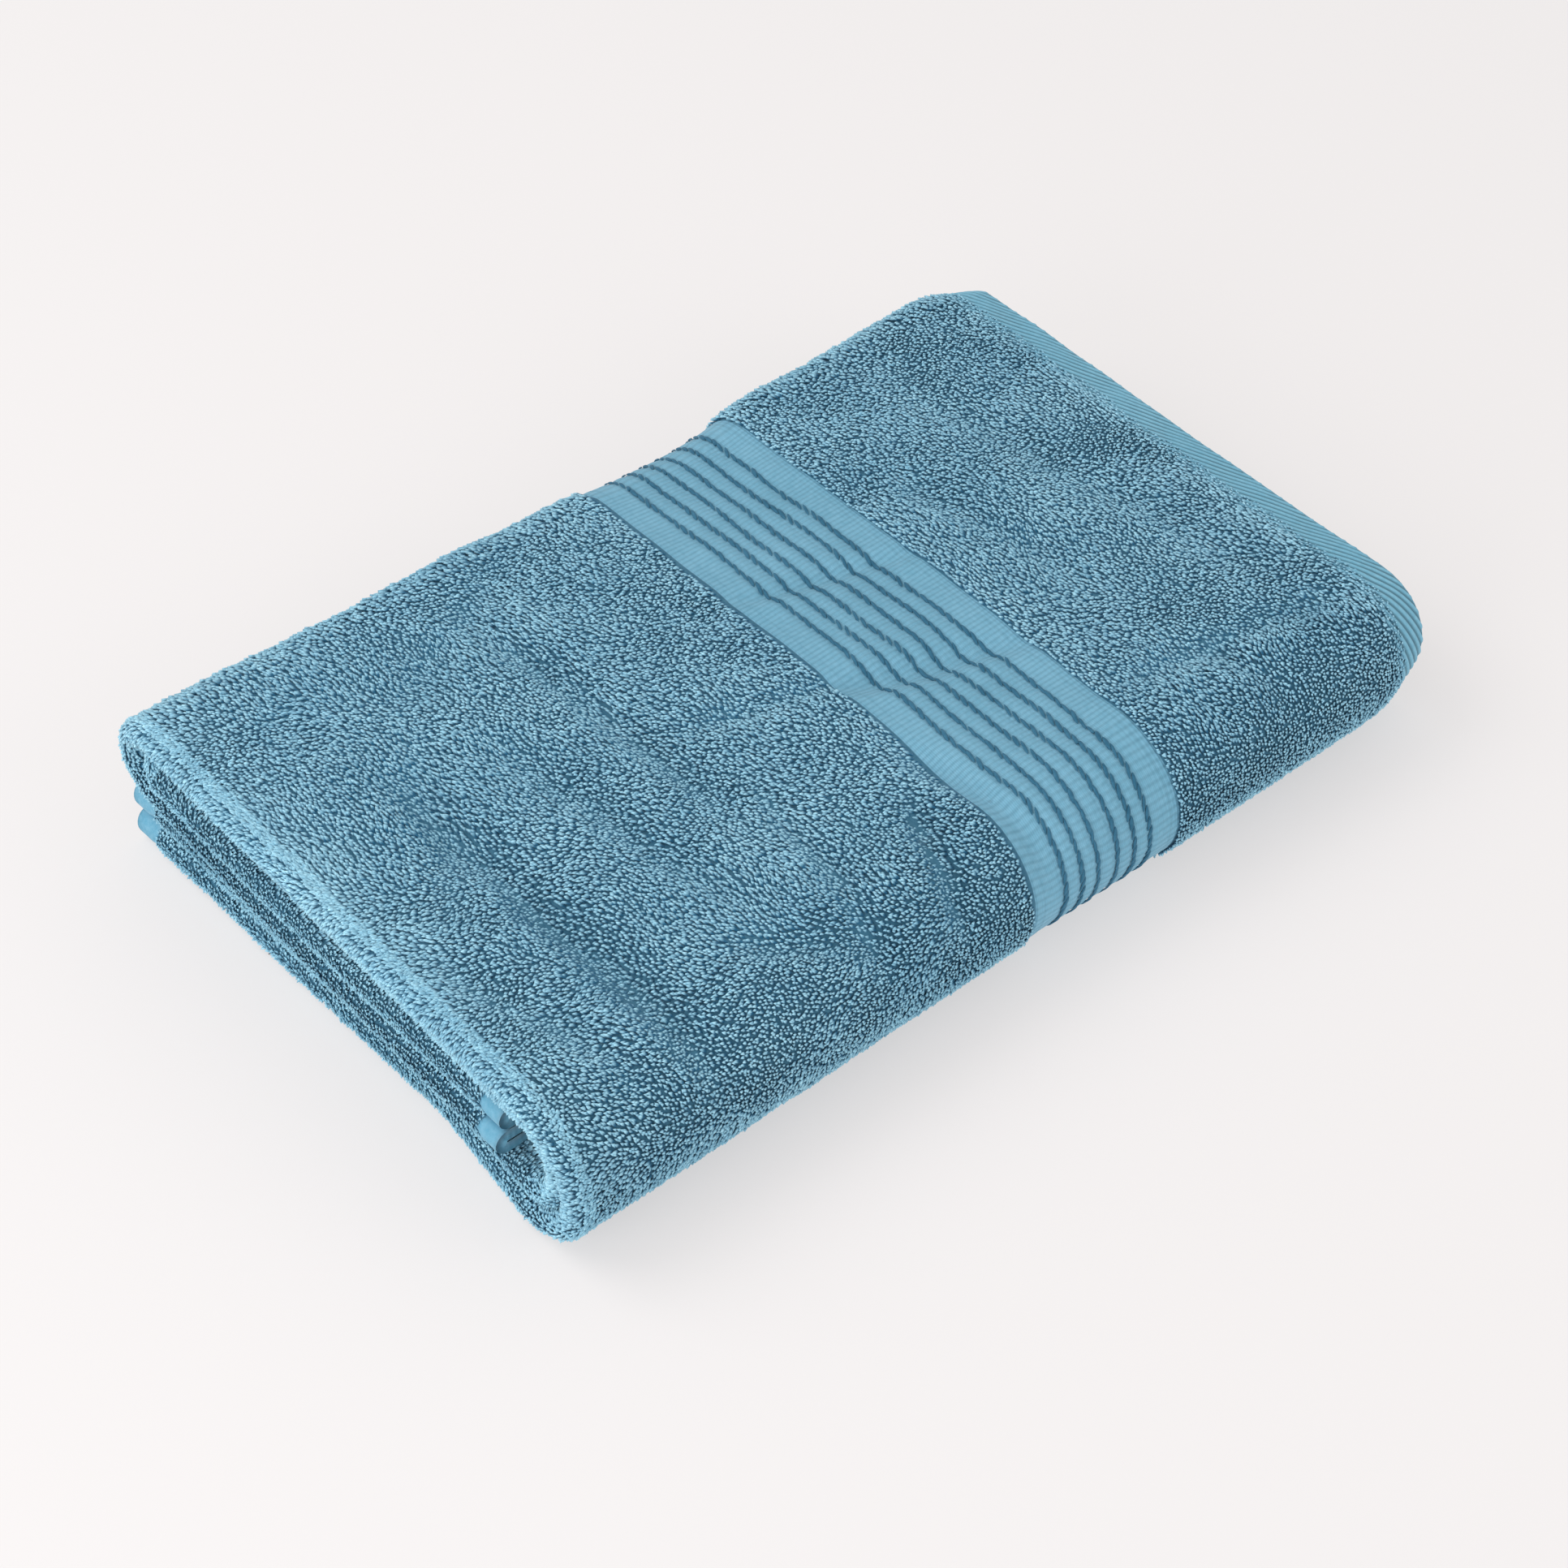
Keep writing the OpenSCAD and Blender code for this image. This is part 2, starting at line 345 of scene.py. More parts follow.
def mesh_object(name, points, faces, uv, metres, slots=None, yarn=None):
    """A smooth mesh object. uv is each point's place in the baked map, and metres its place on
    the open cloth, which the weave follows. yarn is how near the point is to the top of its loop,
    raised where a loop gets a painted highlight, which sets the painted shade low in the pile; and
    a number that differs from loop to loop."""
    mesh = bpy.data.meshes.new(name)
    count, size = faces.shape
    # The lowest pile is pressed flat by the surface that the towel lies on
    points = np.maximum(points, [-np.inf, -np.inf, 0])
    mesh.vertices.add(len(points))
    mesh.vertices.foreach_set("co", points.astype(np.float32).ravel())
    mesh.loops.add(faces.size)
    mesh.loops.foreach_set("vertex_index", faces.astype(np.int32).ravel())
    mesh.polygons.add(count)
    mesh.polygons.foreach_set("loop_start", np.arange(count, dtype=np.int32) * size)
    mesh.update(calc_edges=True)
    mesh.polygons.foreach_set("use_smooth", np.ones(count, bool))
    if slots is not None:
        mesh.polygons.foreach_set("material_index", slots.astype(np.int32))
    maps = [("OFBake", uv), ("Cloth", metres)]
    if yarn is not None:
        maps.append(("Yarn", yarn))
    for label, values in maps:
        layer = mesh.uv_layers.new(name=label)
        layer.data.foreach_set("uv", values[faces.ravel()].astype(np.float32).ravel())
    obj = bpy.data.objects.new(name, mesh)
    bpy.context.scene.collection.objects.link(obj)
    return obj


def fit_unit(s, v):
    """s and v spread over the unit square, with a small margin"""
    flat = []
    for c in (s, v):
        flat.append(0.01 + 0.98 * (c - c.min()) / max(c.max() - c.min(), 1e-9))
    return np.stack(flat, -1)


def grid_faces(rows, columns):
    """Quads of a grid of points, row after row"""
    i, j = np.meshgrid(np.arange(rows - 1), np.arange(columns - 1), indexing="ij")
    a = i * columns + j
    b = a + columns
    return np.stack([a, b, b + 1, a + 1], -1).reshape(-1, 4)


def cloth_half(s, v):
    """Half the cloth's thickness: full under the pile, less in the border and the hems"""
    half = np.full(np.broadcast(s, v).shape, CLOTH_HALF)
    for start, end in (S_BORDER, S_INNER_BORDER):
        inside = ramp(s, start - MM, start + MM) * (1 - ramp(s, end - MM, end + MM))
        half = half - inside * (CLOTH_HALF - BORDER_HALF + 0.35 * MM)
    ends = 1 - ramp(s, END_HEM - MM, END_HEM + 3 * MM)
    ends = ends + ramp(s, S_END - END_HEM, S_END - END_HEM + MM)
    half = half - ends * (CLOTH_HALF - HEM_HALF + 0.3 * MM)
    # A side hem is folded over, so it is twice as thick
    sides = 1 - ramp(v, SIDE_HEM - MM, SIDE_HEM) + ramp(v, WIDTH - SIDE_HEM, WIDTH - SIDE_HEM + MM)
    return half + sides * (SIDE_HEM_HALF - half)


def slab(name, s_values, v_values, zone):
    """Closed sheet of cloth over a grid of s and v. zone gives each face's material slot."""
    s, v = np.meshgrid(s_values, v_values, indexing="ij")
    half = cloth_half(s, v)
    rows, columns = s.shape
    outer = place(s, v, half)[0].reshape(-1, 3)
    inner = place(s, v, -half)[0].reshape(-1, 3)
    points = np.concatenate([outer, inner])
    faces = grid_faces(rows, columns)
    total = rows * columns
    rim = np.concatenate(
        [
            np.arange(columns),
            np.arange(1, rows) * columns + columns - 1,
            (rows - 1) * columns + np.arange(columns - 2, -1, -1),
            np.arange(rows - 2, 0, -1) * columns,
        ]
    )
    after = np.roll(rim, -1)
    edge = np.stack([rim, after, after + total, rim + total], -1)
    all_faces = np.concatenate([faces[:, ::-1], faces + total, edge])
    s_all, v_all = np.tile(s.ravel(), 2), np.tile(v.ravel(), 2)
    middle_s = s_all[all_faces].mean(1)
    middle_v = v_all[all_faces].mean(1)
    return mesh_object(
        name, points, all_faces, fit_unit(s_all, v_all), np.stack([s_all, v_all], -1),
        zone(middle_s, middle_v),
    )


def shell(name, s_values, v_values, off):
    """Fine open skin over the cloth's outer face, off above its middle layer, with its long edges
    turned down into the cloth. off is a function of s and v."""
    s, v = np.meshgrid(s_values, v_values, indexing="ij")
    height = off(s, v)
    height[[0, -1], :] -= 0.8 * MM
    points = place(s, v, height)[0].reshape(-1, 3)
    faces = grid_faces(*s.shape)[:, ::-1]
    s_all, v_all = s.ravel(), v.ravel()
    return mesh_object(name, points, faces, fit_unit(s_all, v_all), np.stack([s_all, v_all], -1))


def tubes(name, centres, radii, sides, across, s, v, cell, flat=1.0, light=0.0):
    """One mesh of many short yarns. centres is yarn by ring by 3, radii the same without the 3,
    and across is a direction that is square to each yarn. Each yarn has its own cell of the baked
    map. flat is the yarn's height over its width, and light how much of the yarn is coloured as
    light as its top, a painted highlight that takes away the painted shade low in the loop."""
    count, rings = radii.shape
    forward = unit(np.gradient(centres, axis=1))
    other = unit(np.cross(forward, across[:, None, :]))
    square = np.cross(other, forward)
    angles = 2 * math.pi * (np.arange(sides) + 0.5) / sides
    ring = (
        np.cos(angles)[:, None] * square[:, :, None, :]
        + flat * np.sin(angles)[:, None] * other[:, :, None, :]
    )
    points = centres[:, :, None, :] + radii[:, :, None, None] * ring
    i, k = np.meshgrid(np.arange(rings - 1), np.arange(sides), indexing="ij")
    a = i * sides + k
    b = i * sides + (k + 1) % sides
    one = np.stack([a, b, b + sides, a + sides], -1).reshape(-1, 4)
    faces = (np.arange(count)[:, None, None] * rings * sides + one).reshape(-1, 4)
    along = np.linspace(0, 1, rings)
    shape = (count, rings, sides)
    s_all = np.broadcast_to(s[:, None, None] + cell * (along[:, None] - 0.5), shape).ravel()
    v_all = np.broadcast_to(v[:, None, None] + cell * 0.5 * np.cos(angles), shape).ravel()
    # Painted shade low in each loop and painted highlight at its top: top runs from the highlight
    # share at the feet to 1 at the top of the arch
    light = np.broadcast_to(light, (count,))[:, None, None]
    top = np.broadcast_to(light + (1 - light) * np.sin(math.pi * along)[:, None], shape).ravel()
    own = np.broadcast_to(rng.uniform(0, 1, count)[:, None, None], shape).ravel()
    return mesh_object(
        name, points.reshape(-1, 3), faces, fit_unit(s_all, v_all),
        np.stack([s_all, v_all], -1), yarn=np.stack([top, own], -1),
    )


def unit(vectors):
    return vectors / np.maximum(np.linalg.norm(vectors, axis=-1, keepdims=True), 1e-9)


# ---------------------------------------------------------------- materials


def cotton(name, dark, light, sheen, rough, weave=None, root_shade=None, ribbed=()):
    """Cotton cloth: a colour that drifts in broad patches and from yarn to yarn, a soft sheen
    and, for flat cloth, the bump of its weave in metres on the open cloth. The colour given for
    the roots is painted shade on the yarn low in the pile. ribbed is sets of ribs whose grooves
    get painted shade, as spacing, angle and depth."""
    material = bpy.data.materials.new(name)
    material.use_nodes = True
    tree = material.node_tree
    nodes, links = tree.nodes, tree.links
    shader = nodes["Principled BSDF"]
    shader.inputs["Roughness"].default_value = rough
    shader.inputs["Sheen Weight"].default_value = sheen
    shader.inputs["Sheen Roughness"].default_value = 0.45
    shader.inputs["Sheen Tint"].default_value = (0.75, 0.92, 1.0, 1.0)
    shader.inputs["Specular IOR Level"].default_value = 0.15
    where = nodes.new("ShaderNodeTexCoord")
    broad = nodes.new("ShaderNodeTexNoise")
    broad.inputs["Scale"].default_value = 28
    broad.inputs["Detail"].default_value = 4
    fine = nodes.new("ShaderNodeTexNoise")
    fine.inputs["Scale"].default_value = 520
    fine.inputs["Detail"].default_value = 2
    links.new(where.outputs["Object"], broad.inputs["Vector"])
    links.new(where.outputs["Object"], fine.inputs["Vector"])
    blend = nodes.new("ShaderNodeMix")
    blend.data_type = "FLOAT"
    blend.inputs[0].default_value = 0.62
    links.new(broad.outputs["Fac"], blend.inputs[2])
    links.new(fine.outputs["Fac"], blend.inputs[3])
    ramp_node = nodes.new("ShaderNodeValToRGB")
    ramp_node.color_ramp.elements[0].position = 0.34
    ramp_node.color_ramp.elements[0].color = (*dark, 1)
    ramp_node.color_ramp.elements[1].position = 0.66
    ramp_node.color_ramp.elements[1].color = (*light, 1)
    links.new(blend.outputs[0], ramp_node.inputs["Fac"])
    colour = ramp_node.outputs["Color"]
    # Painted shade on the yarn low in the pile, lighter towards the top of each loop
    if root_shade:
        colour = painted_root_shade(tree, colour, root_shade)
    # Painted shade in the grooves of each set of ribs
    for spacing, angle, depth in ribbed:
        colour = ribs(tree, colour, tuple(0.45 * c for c in dark), spacing, angle, depth)
    links.new(colour, shader.inputs["Base Color"])
    if weave:
        weave_bump(tree, shader, *weave)
    return material


def mixed(tree, factor, first, second):
    """The colour between two colours, for a factor socket"""
    node = tree.nodes.new("ShaderNodeMix")
    node.data_type = "RGBA"
    tree.links.new(factor, node.inputs["Factor"])
    for socket, value in ((node.inputs[6], first), (node.inputs[7], second)):
        if isinstance(value, tuple):
            socket.default_value = (*value, 1)
        else:
            tree.links.new(value, socket)
    return node.outputs[2]


def painted_root_shade(tree, colour, root_shade):
    """Painted shade: yarn that is coloured dark low in the pile and light at the top of its loop,
    a little differently from loop to loop"""
    nodes, links = tree.nodes, tree.links
    yarn = nodes.new("ShaderNodeUVMap")
    yarn.uv_map = "Yarn"
    parts = nodes.new("ShaderNodeSeparateXYZ")
    links.new(yarn.outputs["UV"], parts.inputs["Vector"])
    height = nodes.new("ShaderNodeMapRange")
    height.interpolation_type = "SMOOTHSTEP"
    height.inputs["From Min"].default_value = 0.38
    height.inputs["From Max"].default_value = 1.03
    links.new(parts.outputs["X"], height.inputs["Value"])
    tone = nodes.new("ShaderNodeMapRange")
    tone.inputs["To Min"].default_value = 0.66
    tone.inputs["To Max"].default_value = 1.0
    links.new(parts.outputs["Y"], tone.inputs["Value"])
    both = nodes.new("ShaderNodeMath")
    both.operation = "MULTIPLY"
    links.new(height.outputs["Result"], both.inputs[0])
    links.new(tone.outputs["Result"], both.inputs[1])
    return mixed(tree, both.outputs[0], root_shade, colour)


def ribs(tree, colour, groove, spacing, angle, depth):
    """Painted shade in the grooves between ribs that are spacing apart. angle is from the direction
    of s.
    """
    nodes, links = tree.nodes, tree.links
    cloth = nodes.new("ShaderNodeUVMap")
    cloth.uv_map = "Cloth"
    across = nodes.new("ShaderNodeVectorMath")
    across.operation = "DOT_PRODUCT"
    turns = 2 * math.pi / spacing
    across.inputs[1].default_value = (turns * math.cos(angle), turns * math.sin(angle), 0)
    links.new(cloth.outputs["UV"], across.inputs[0])
    wave = nodes.new("ShaderNodeMath")
    wave.operation = "COSINE"
    links.new(across.outputs["Value"], wave.inputs[0])
    share = nodes.new("ShaderNodeMapRange")
    share.inputs["From Min"].default_value = 0.3
    share.inputs["From Max"].default_value = -1.0
    share.inputs["To Max"].default_value = depth
    links.new(wave.outputs[0], share.inputs["Value"])
    return mixed(tree, share.outputs["Result"], colour, groove)


def weave_bump(tree, shader, yarn, depth, twill):
    """Bump of crossing yarns, yarn metres apart. twill turns the second set to a diagonal."""
    nodes, links = tree.nodes, tree.links
    cloth = nodes.new("ShaderNodeUVMap")
    cloth.uv_map = "Cloth"
    yarns = []
    for turned in (0.0, math.radians(90 - twill)):
        spin = nodes.new("ShaderNodeMapping")
        spin.inputs["Rotation"].default_value = (0, 0, turned)
        wave = nodes.new("ShaderNodeTexWave")
        wave.inputs["Scale"].default_value = 1 / (10 * yarn)
        wave.inputs["Distortion"].default_value = 0.6
        links.new(cloth.outputs["UV"], spin.inputs["Vector"])
        links.new(spin.outputs["Vector"], wave.inputs["Vector"])
        yarns.append(wave.outputs["Fac"])
    cross = nodes.new("ShaderNodeMath")
    cross.operation = "ADD"
    links.new(yarns[0], cross.inputs[0])
    links.new(yarns[1], cross.inputs[1])
    bump = nodes.new("ShaderNodeBump")
    bump.inputs["Strength"].default_value = 0.5
    bump.inputs["Distance"].default_value = depth
    links.new(cross.outputs[0], bump.inputs["Height"])
    links.new(bump.outputs["Normal"], shader.inputs["Normal"])


# The pile's colour drifts at random, and its roots colour is painted shade low in each loop
PILE = cotton(
    "terry_pile", (0.29, 0.58, 0.74), (0.48, 0.82, 0.96), 0.2, 0.85, root_shade=(0.02, 0.12, 0.22)
)
# The ground cloth seen between the loops is coloured darker than its yarn, as painted shade
GROUND_PAINTED_SHADE = cotton("terry_ground_painted_shade", (0.035, 0.12, 0.19), (0.06, 0.17, 0.25), 0.1, 0.95)
# The grooves between the ribs of the border and the end hem get painted shade
BORDER = cotton(
    "border_weave", (0.15, 0.36, 0.49), (0.195, 0.42, 0.56), 0.15, 0.8, (0.6 * MM, 0.12 * MM, 0),
    ribbed=[(2.05 * MM, math.radians(90), 0.3), (0.7 * MM, 0, 0.22)],
)
HEM = cotton(
    "hem_weave", (0.16, 0.39, 0.52), (0.21, 0.45, 0.58), 0.15, 0.8, (0.7 * MM, 0.12 * MM, 25),
    ribbed=[(RIB_STEP, RIB_SLANT, 1.0)],
)
SIDE_HEM_CLOTH = cotton(
    "side_hem_weave", (0.10, 0.30, 0.43), (0.17, 0.38, 0.51), 0.15, 0.8, (0.7 * MM, 0.12 * MM, 0)
)
LINES = cotton("border_lines", (0.018, 0.10, 0.17), (0.04, 0.15, 0.24), 0.1, 0.6)

# ---------------------------------------------------------------- the cloth itself

UPPER, LOWER = "upper_stack", "bottom_stack"
STACK = {"middle": UPPER, "back": UPPER, "top": UPPER, "front": None, "bottom": LOWER}


def on_fold(piece):
    """A piece on the round front fold is baked in place and rides on neither stack."""
    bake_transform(piece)


def attach(piece, stretch):
    """A piece rides on its stretch's stack, or, on the front fold, is baked in place"""
    if STACK[stretch]:
        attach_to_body(piece, STACK[stretch])
    else:
        on_fold(piece)


def zones(s, v):
    """Material slot of the cloth: 0 ground under the pile, 1 border, 2 end hem, 3 side hem"""
    slot = np.zeros(len(s), int)
    for start, end in (S_BORDER, S_INNER_BORDER):
        slot[(s > start) & (s < end)] = 1
    slot[(s < END_HEM) | (s > S_END - END_HEM)] = 2
    slot[(v < SIDE_HEM) | (v > WIDTH - SIDE_HEM)] = 3
    return slot


def s_steps(first, last):
    """Values of s that are close together in the turns, the border and the ends"""
    coarse = np.arange(first, last, 5 * MM)
    fine = [coarse, [first, last]]
    for centre in (S_LEFT, S_RIGHT, S_INNER_LEFT):
        fine.append(np.linspace(centre, centre + TURN, 13))
    for edge in (*S_BORDER, *S_INNER_BORDER):
        fine.append(edge + np.array([-1.2, -0.6, 0, 0.6, 1.2]) * MM)
    fine.append(np.linspace(0, 3 * END_HEM, 20))
    values = np.unique(np.round(np.concatenate(fine), 6))
    values = values[(values >= first) & (values <= last)]
    return values[np.concatenate([[True], np.diff(values) > 0.2 * MM])]


def v_steps(first, last):
    """Even values of v"""
    return np.round(np.linspace(first, last, int((last - first) / (3.6 * MM))), 6)


def dress(piece, *materials):
    for material in materials:
        piece.data.materials.append(material)
    return piece


def cloth(name, v0, v1, s0, s1):
    """One sheet of the cloth, with a material for each kind of surface"""
    piece = slab(name, s_steps(s0, s1), v_steps(v0, v1), zones)
    return dress(piece, GROUND_PAINTED_SHADE, BORDER, HEM, SIDE_HEM_CLOTH)


S_HALF = S_RIGHT + TURN / 2
upper_cloth = cloth("upper_cloth", 0, V["front"], 0, S_END)
lower_cloth = cloth("bottom_cloth", V["bottom"], V["end"], 0, S_END)
fold_outer = cloth("front_fold_outer_cloth", V["front"], V["bottom"], 0, S_HALF)
fold_inner = cloth("front_fold_inner_cloth", V["front"], V["bottom"], S_HALF, S_END)
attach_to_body(upper_cloth, UPPER)
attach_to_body(lower_cloth, LOWER)
on_fold(fold_outer)
on_fold(fold_inner)

# ---------------------------------------------------------------- the pile


def scatter(s0, s1, v0, v1, step, s_scale=1.0, v_scale=1.0):
    """Staggered, slightly uneven rows of loops, step apart on the real surface. The scales say how
    much longer the surface is than the middle layer."""
    rows = max(1, int((s1 - s0) * s_scale / step))
    columns = max(1, int((v1 - v0) * v_scale / step))
    i, j = np.meshgrid(np.arange(rows), np.arange(columns), indexing="ij")
    jitter = rng.uniform(-0.33, 0.33, (2, rows, columns))
    s = s0 + (i + 0.5 + jitter[0]) * (s1 - s0) / rows
    v = v0 + (j + 0.5 + 0.5 * (i % 2) - 0.25 + jitter[1]) * (v1 - v0) / columns
    return s.ravel(), v.ravel()


def loops(name, s, v, side, size, sides):
    """Terry loops that stand on one face of the cloth. Each is an arch of yarn with its feet close
    together, and it leans the way that its neighbours lean: down over the left end, and up the
    front."""
    inside = (v > SIDE_HEM) & (v < WIDTH - SIDE_HEM)
    # The pile ends along a ragged line that laps over the end hem
    spots = np.stack([v, np.zeros_like(v), np.zeros_like(v)], -1)
    inside &= s > END_HEM - 2 * MM + 1.6 * MM * waves(spots, 0.03, 24)
    s, v = s[inside], v[inside]
    base, along_s, along_v, normal = place(s, v, side * (CLOTH_HALF - 0.2 * MM))
    normal = normal * side
    count = len(s)
    # Where the pile meets the end hem its loops are smaller
    grow = size * (0.6 + 0.4 * ramp(s, END_HEM - 3 * MM, END_HEM + 5 * MM))
    grow = grow * rng.uniform(0.84, 1.16, count)
    heading = (
        LEAN_ANGLE
        + 0.40 * waves(base, 0.085, 21)
        + 0.26 * waves(base, 0.02, 22)
        + rng.normal(0, 0.14, count)
    )
    ahead, aside = along_s, -along_v
    lean = np.cos(heading)[:, None] * ahead + np.sin(heading)[:, None] * aside
    foot_angle = heading + math.pi / 2 + rng.normal(0, 0.3, count)
    foot = np.cos(foot_angle)[:, None] * ahead + np.sin(foot_angle)[:, None] * aside
    push = (LOOP_LEAN + 0.3 * MM * waves(base, 0.05, 23) + rng.normal(0, 0.2 * MM, count)) * grow
    height = (LOOP_RISE + rng.normal(0, 0.15 * MM, count)) * grow
    arc = np.linspace(0, math.pi, LOOP_RINGS)
    c, sn = np.cos(arc), np.sin(arc)
    centres = (
        base[:, None, :]
        + (LOOP_FOOT * grow)[:, None, None] * (c * (1 + 0.8 * sn))[None, :, None] * foot[:, None, :]
        + height[:, None, None] * (sn**0.7)[None, :, None] * normal[:, None, :]
        + push[:, None, None] * (sn**1.3)[None, :, None] * lean[:, None, :]
    )
    rise = unit(height[:, None] * normal + push[:, None] * lean)
    across = unit(np.cross(foot, rise))
    radii = LOOP_RADIUS * grow[:, None] * (0.8 + 0.25 * sn)[None, :]
    # Painted highlight over the crest of the top panel's left turn, where its loops stand apart:
    # they are coloured lighter down to their feet
    crest_highlight = 0.35 * np.exp(-(((s - S_LEFT + 4 * MM) / (16 * MM)) ** 2))
    crest_highlight = crest_highlight * ramp(v, V["top"] - 20 * MM, V["top"])
    crest_highlight = crest_highlight * (1 - ramp(v, V["bottom"] - 30 * MM, V["bottom"]))
    # Painted highlight on the loops round the lower turns, for the light that falls on them from the
    # left
    lower_turn_highlight = 0.55 * np.exp(-(((s - S_INNER_LEFT - TURN / 2) / TURN) ** 2))
    lower_turn_highlight += 0.8 * np.exp(-(((s - S_LEFT - TURN / 2) / TURN) ** 2)) * (v > V["bottom"])
    # Painted highlight: the last loops before the hem stand free, so they are coloured lighter, with
    # less painted shade at their feet
    beside_hem_highlight = 0.45 * (1 - ramp(s, END_HEM + 3 * MM, END_HEM + 13 * MM))
    # How much painted highlight each loop gets
    light = np.maximum(np.maximum(crest_highlight, lower_turn_highlight), beside_hem_highlight)
    piece = tubes(name, centres, radii, sides, across, s, v, 1.2 * MM, light=light)
    return dress(piece, PILE)


# How much longer the outside of a turn is than its middle layer
OUTER_TURN = 1 + CLOTH_HALF / (PITCH / 2)


def pile(name, stretch, s0, s1, step, level, side=1, turned=False, size=1.0):
    """Pile over one stretch of the letter fold, in pieces of a modest size. level is the leaf's
    height in the panel, in leaves, which sets how long the surface is where the stretch is a
    fold."""
    v0, v1 = SPAN[stretch]
    reach = {"front": R_FRONT, "back": 0}.get(stretch)
    v_scale = 1.0 if reach is None else (reach + level * PITCH) / (reach + 2 * PITCH)
    s_scale = OUTER_TURN if turned else 1.0
    number = (s1 - s0) * s_scale * (v1 - v0) * v_scale / step**2
    parts = math.ceil(number / LOOPS_PER_PIECE)
    cuts = np.linspace(s0, s1, parts + 1)
    for part, (first, last) in enumerate(zip(cuts, cuts[1:])):
        s, v = scatter(first, last, v0, v1, step, s_scale, v_scale)
        sides = 3 if stretch in ("middle", "bottom") else 4
        piece = loops(f"{name}_{part + 1}", s, v, side, size, sides=sides)
        attach(piece, stretch)


OUTER_STEP = {"top": FINE, "front": FINE, "back": MEDIUM, "middle": COARSE, "bottom": COARSE}
for stretch in ("top", "front", "back", "middle", "bottom"):
    step = OUTER_STEP[stretch]
    size = step / FINE if step > FINE else 1.0
    pile(f"{stretch}_end_pile", stretch, END_HEM - 4 * MM, S_BORDER[0] - 0.6 * MM, step,
         level=4, size=size)
    pile(f"{stretch}_pile", stretch, S_BORDER[1] + 0.6 * MM, S_LEFT, step, level=4, size=size)
    for name, start in (("upper_turn", S_LEFT), ("lower_turn", S_INNER_LEFT)):
        level = 3 if start == S_LEFT else 1
        pile(f"{stretch}_{name}_pile", stretch, start - 4 * MM, start + TURN + 5 * MM,
             TIGHT, level=level, turned=True, size=1.0)
    pile(f"{stretch}_right_turn_pile", stretch, S_RIGHT - 6 * MM, S_BACK + 6 * MM, MEDIUM,
         side=-1, level=2, turned=True)
pile("front_inner_pile", "front", S_INNER, S_INNER + 60 * MM, FINE, level=0)
pile("bottom_inner_pile", "bottom", S_INNER, S_INNER_BORDER[0], COARSE, level=0, size=COARSE / FINE)
pile("bottom_inner_end_pile", "bottom", S_INNER_BORDER[1], S_END - END_HEM, COARSE, level=0,
     size=COARSE / FINE)

# ---------------------------------------------------------------- border, lines and hems


def spaced(first, last, step):
    return np.linspace(first, last, max(3, int(round((last - first) / step)) + 1))


def border_height(s, v):
    """Fine ribs along both edges of the border, and faint puckers between the lines"""
    into = s - s.min()
    width = s.max() - s.min()
    edge = np.minimum(into, width - into)
    ribs = np.cos(2 * math.pi * edge / (1.15 * MM)) * (1 - ramp(edge, 4 * MM, 6.5 * MM))
    cell = np.sin(2 * math.pi * v / (1.3 * MM)) * np.sin(2 * math.pi * into / (1.3 * MM))
    spots = np.stack([s, v, np.zeros_like(s)], -1)
    pucker = waves(spots, 0.018, 31)
    # The cloth swells a little between the lines, and each float draws in a cross crease
    lined = 1 - ramp(np.abs(into - width / 2), 2.6 * LINE_STEP, 3.1 * LINE_STEP)
    pillow = -np.cos(2 * math.pi * ((into - width / 2) / LINE_STEP + 0.5)) * lined
    crease = -np.abs(np.cos(math.pi * v / (2.05 * MM))) ** 6 * lined
    return (
        BORDER_HALF + 0.13 * MM * ribs + 0.025 * MM * cell + 0.10 * MM * pucker
        + 0.22 * MM * pillow + 0.34 * MM * crease
    )


def hem_height(s, v):
    """Slanting ribs of the flat woven end hem"""
    slant = s * math.cos(RIB_SLANT) + v * math.sin(RIB_SLANT)
    ribs = np.cos(2 * math.pi * slant / RIB_STEP)
    spots = np.stack([s, v, np.zeros_like(s)], -1)
    return HEM_HALF + 0.15 * MM + 0.4 * MM * ribs * (0.8 + 0.2 * waves(spots, 0.012, 32))


def line_yarns(name, border, v0, v1, v_scale=1.0):
    """The coloured lines: dark floats of yarn, each a little askew, end to end across the cloth"""
    step = 4.1 * MM / v_scale
    s_list, v_list = [], []
    for number in range(LINE_COUNT):
        line = sum(border) / 2 + (number - (LINE_COUNT - 1) / 2) * LINE_STEP
        v = np.arange(v0 + step / 2, v1, step)
        s_list.append(np.full(len(v), line))
        v_list.append(v + rng.normal(0, 0.12 * MM, len(v)))
    s, v = np.concatenate(s_list), np.concatenate(v_list)
    wander = 0.5 * MM * waves(np.stack([s * 3, v, s * 0], -1), 0.05, 33)
    skew = 0.85 * MM + rng.normal(0, 0.25 * MM, len(s))
    length = 2.9 * MM / v_scale * rng.uniform(0.92, 1.1, len(s))
    t = np.linspace(-1, 1, 9)
    ring_s = (s + wander)[:, None] + skew[:, None] * t
    ring_v = v[:, None] + length[:, None] * t
    ring_v = np.clip(ring_v, v0, v1)
    lift = BORDER_HALF + 0.05 * MM + 0.2 * MM * (1 - t**2)
    centres, along_s, _, _ = place(ring_s, ring_v, np.broadcast_to(lift, ring_s.shape))
    radii = 0.68 * MM * np.clip(1.03 - t**2, 0.02, 1) ** 0.7 * rng.uniform(0.8, 1.25, (len(s), 1))
    across = along_s[:, 4]
    piece = tubes(name, centres, radii, 8, across, s, v, 3 * MM, 0.5)
    return dress(piece, LINES)


